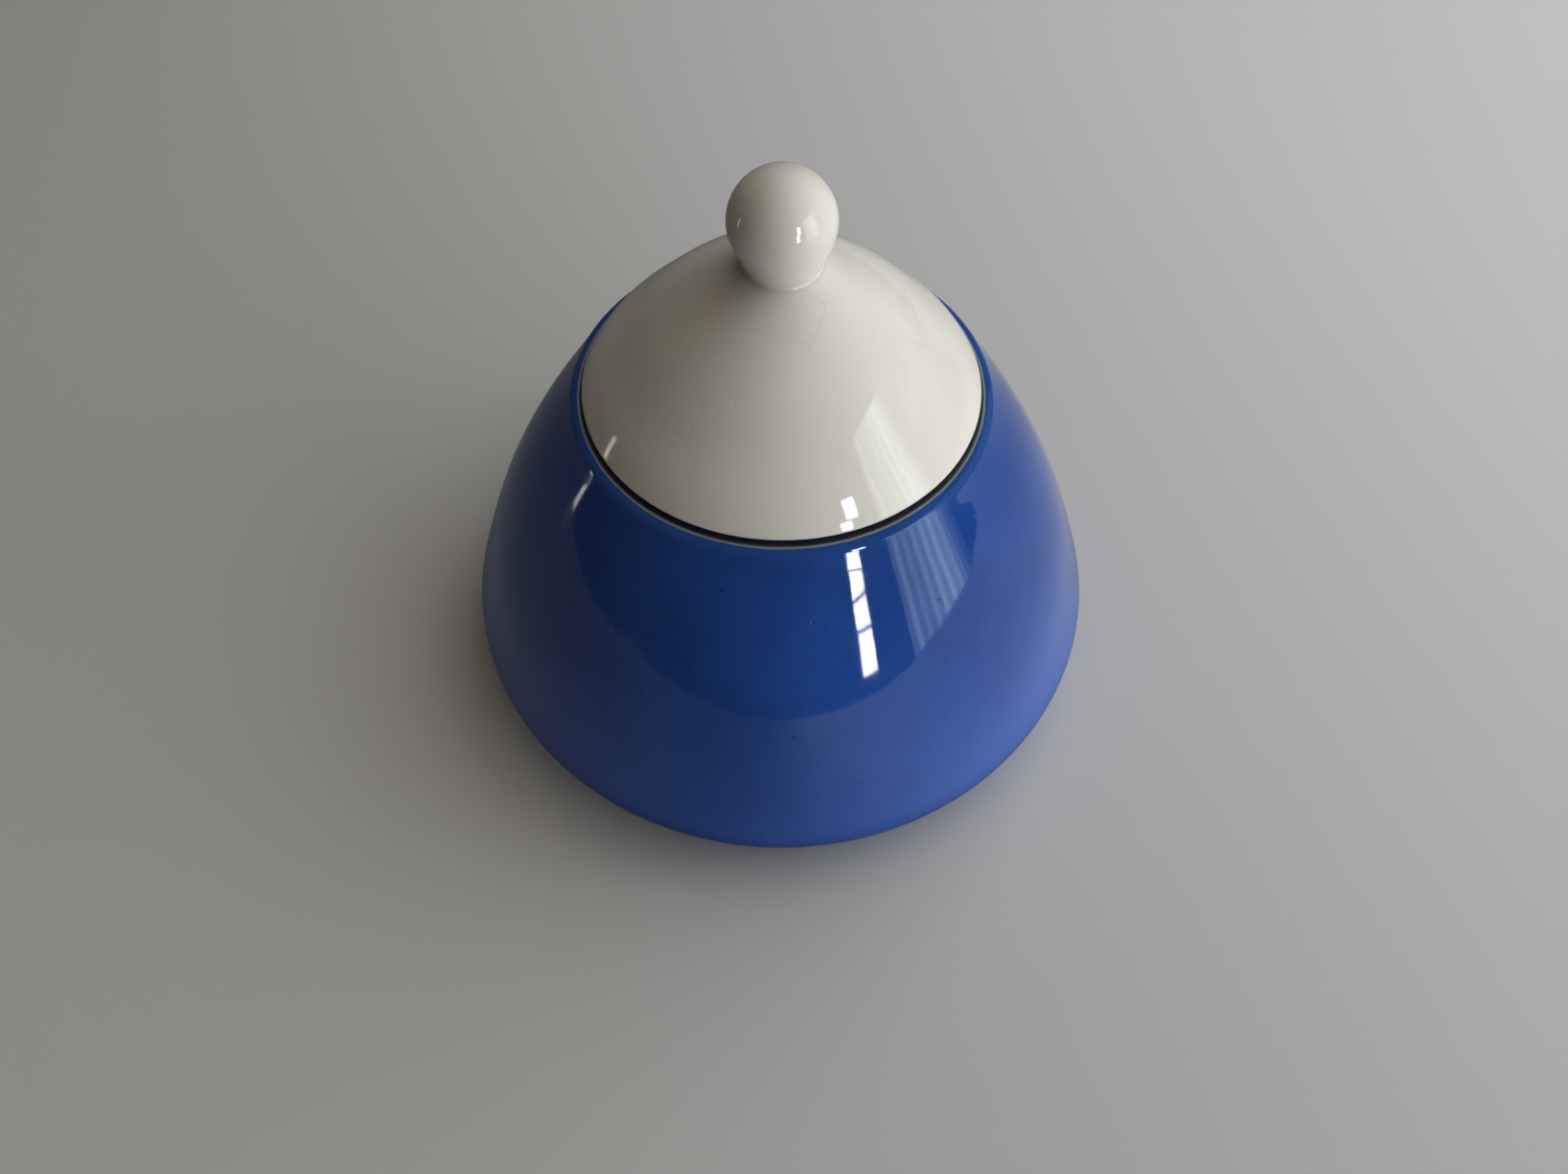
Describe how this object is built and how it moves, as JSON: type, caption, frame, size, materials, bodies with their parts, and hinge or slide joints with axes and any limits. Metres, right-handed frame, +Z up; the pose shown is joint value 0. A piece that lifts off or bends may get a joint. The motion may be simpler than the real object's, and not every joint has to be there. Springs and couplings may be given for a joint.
{
  "type": "butter crock",
  "caption": "Round glazed ceramic crock, widest near the foot and leaning in to a small mouth, with a loose flanged dome lid and a ball knob.",
  "frame": {"origin": "on the floor at the middle of the foot ring", "axes": "+Z up along the pot's turning axis, towards the knob; X and Y are interchangeable because the pot is round"},
  "size_m": [0.14, 0.14, 0.1282],
  "materials": {
    "cobalt_glaze": "gloss",
    "ivory_glaze": "gloss"
  },
  "bodies": {
    "crock": {"crock_body": "cobalt_glaze"},
    "lid": {"lid_dome": "ivory_glaze", "lid_flange": "ivory_glaze", "lid_knob": "ivory_glaze"}
  },
  "joints": [
    {"name": "lid_lift", "type": "slide", "parent": "crock", "child": "lid", "axis": [0, 0, 1], "range_m": [0, 0.06]}
  ]
}
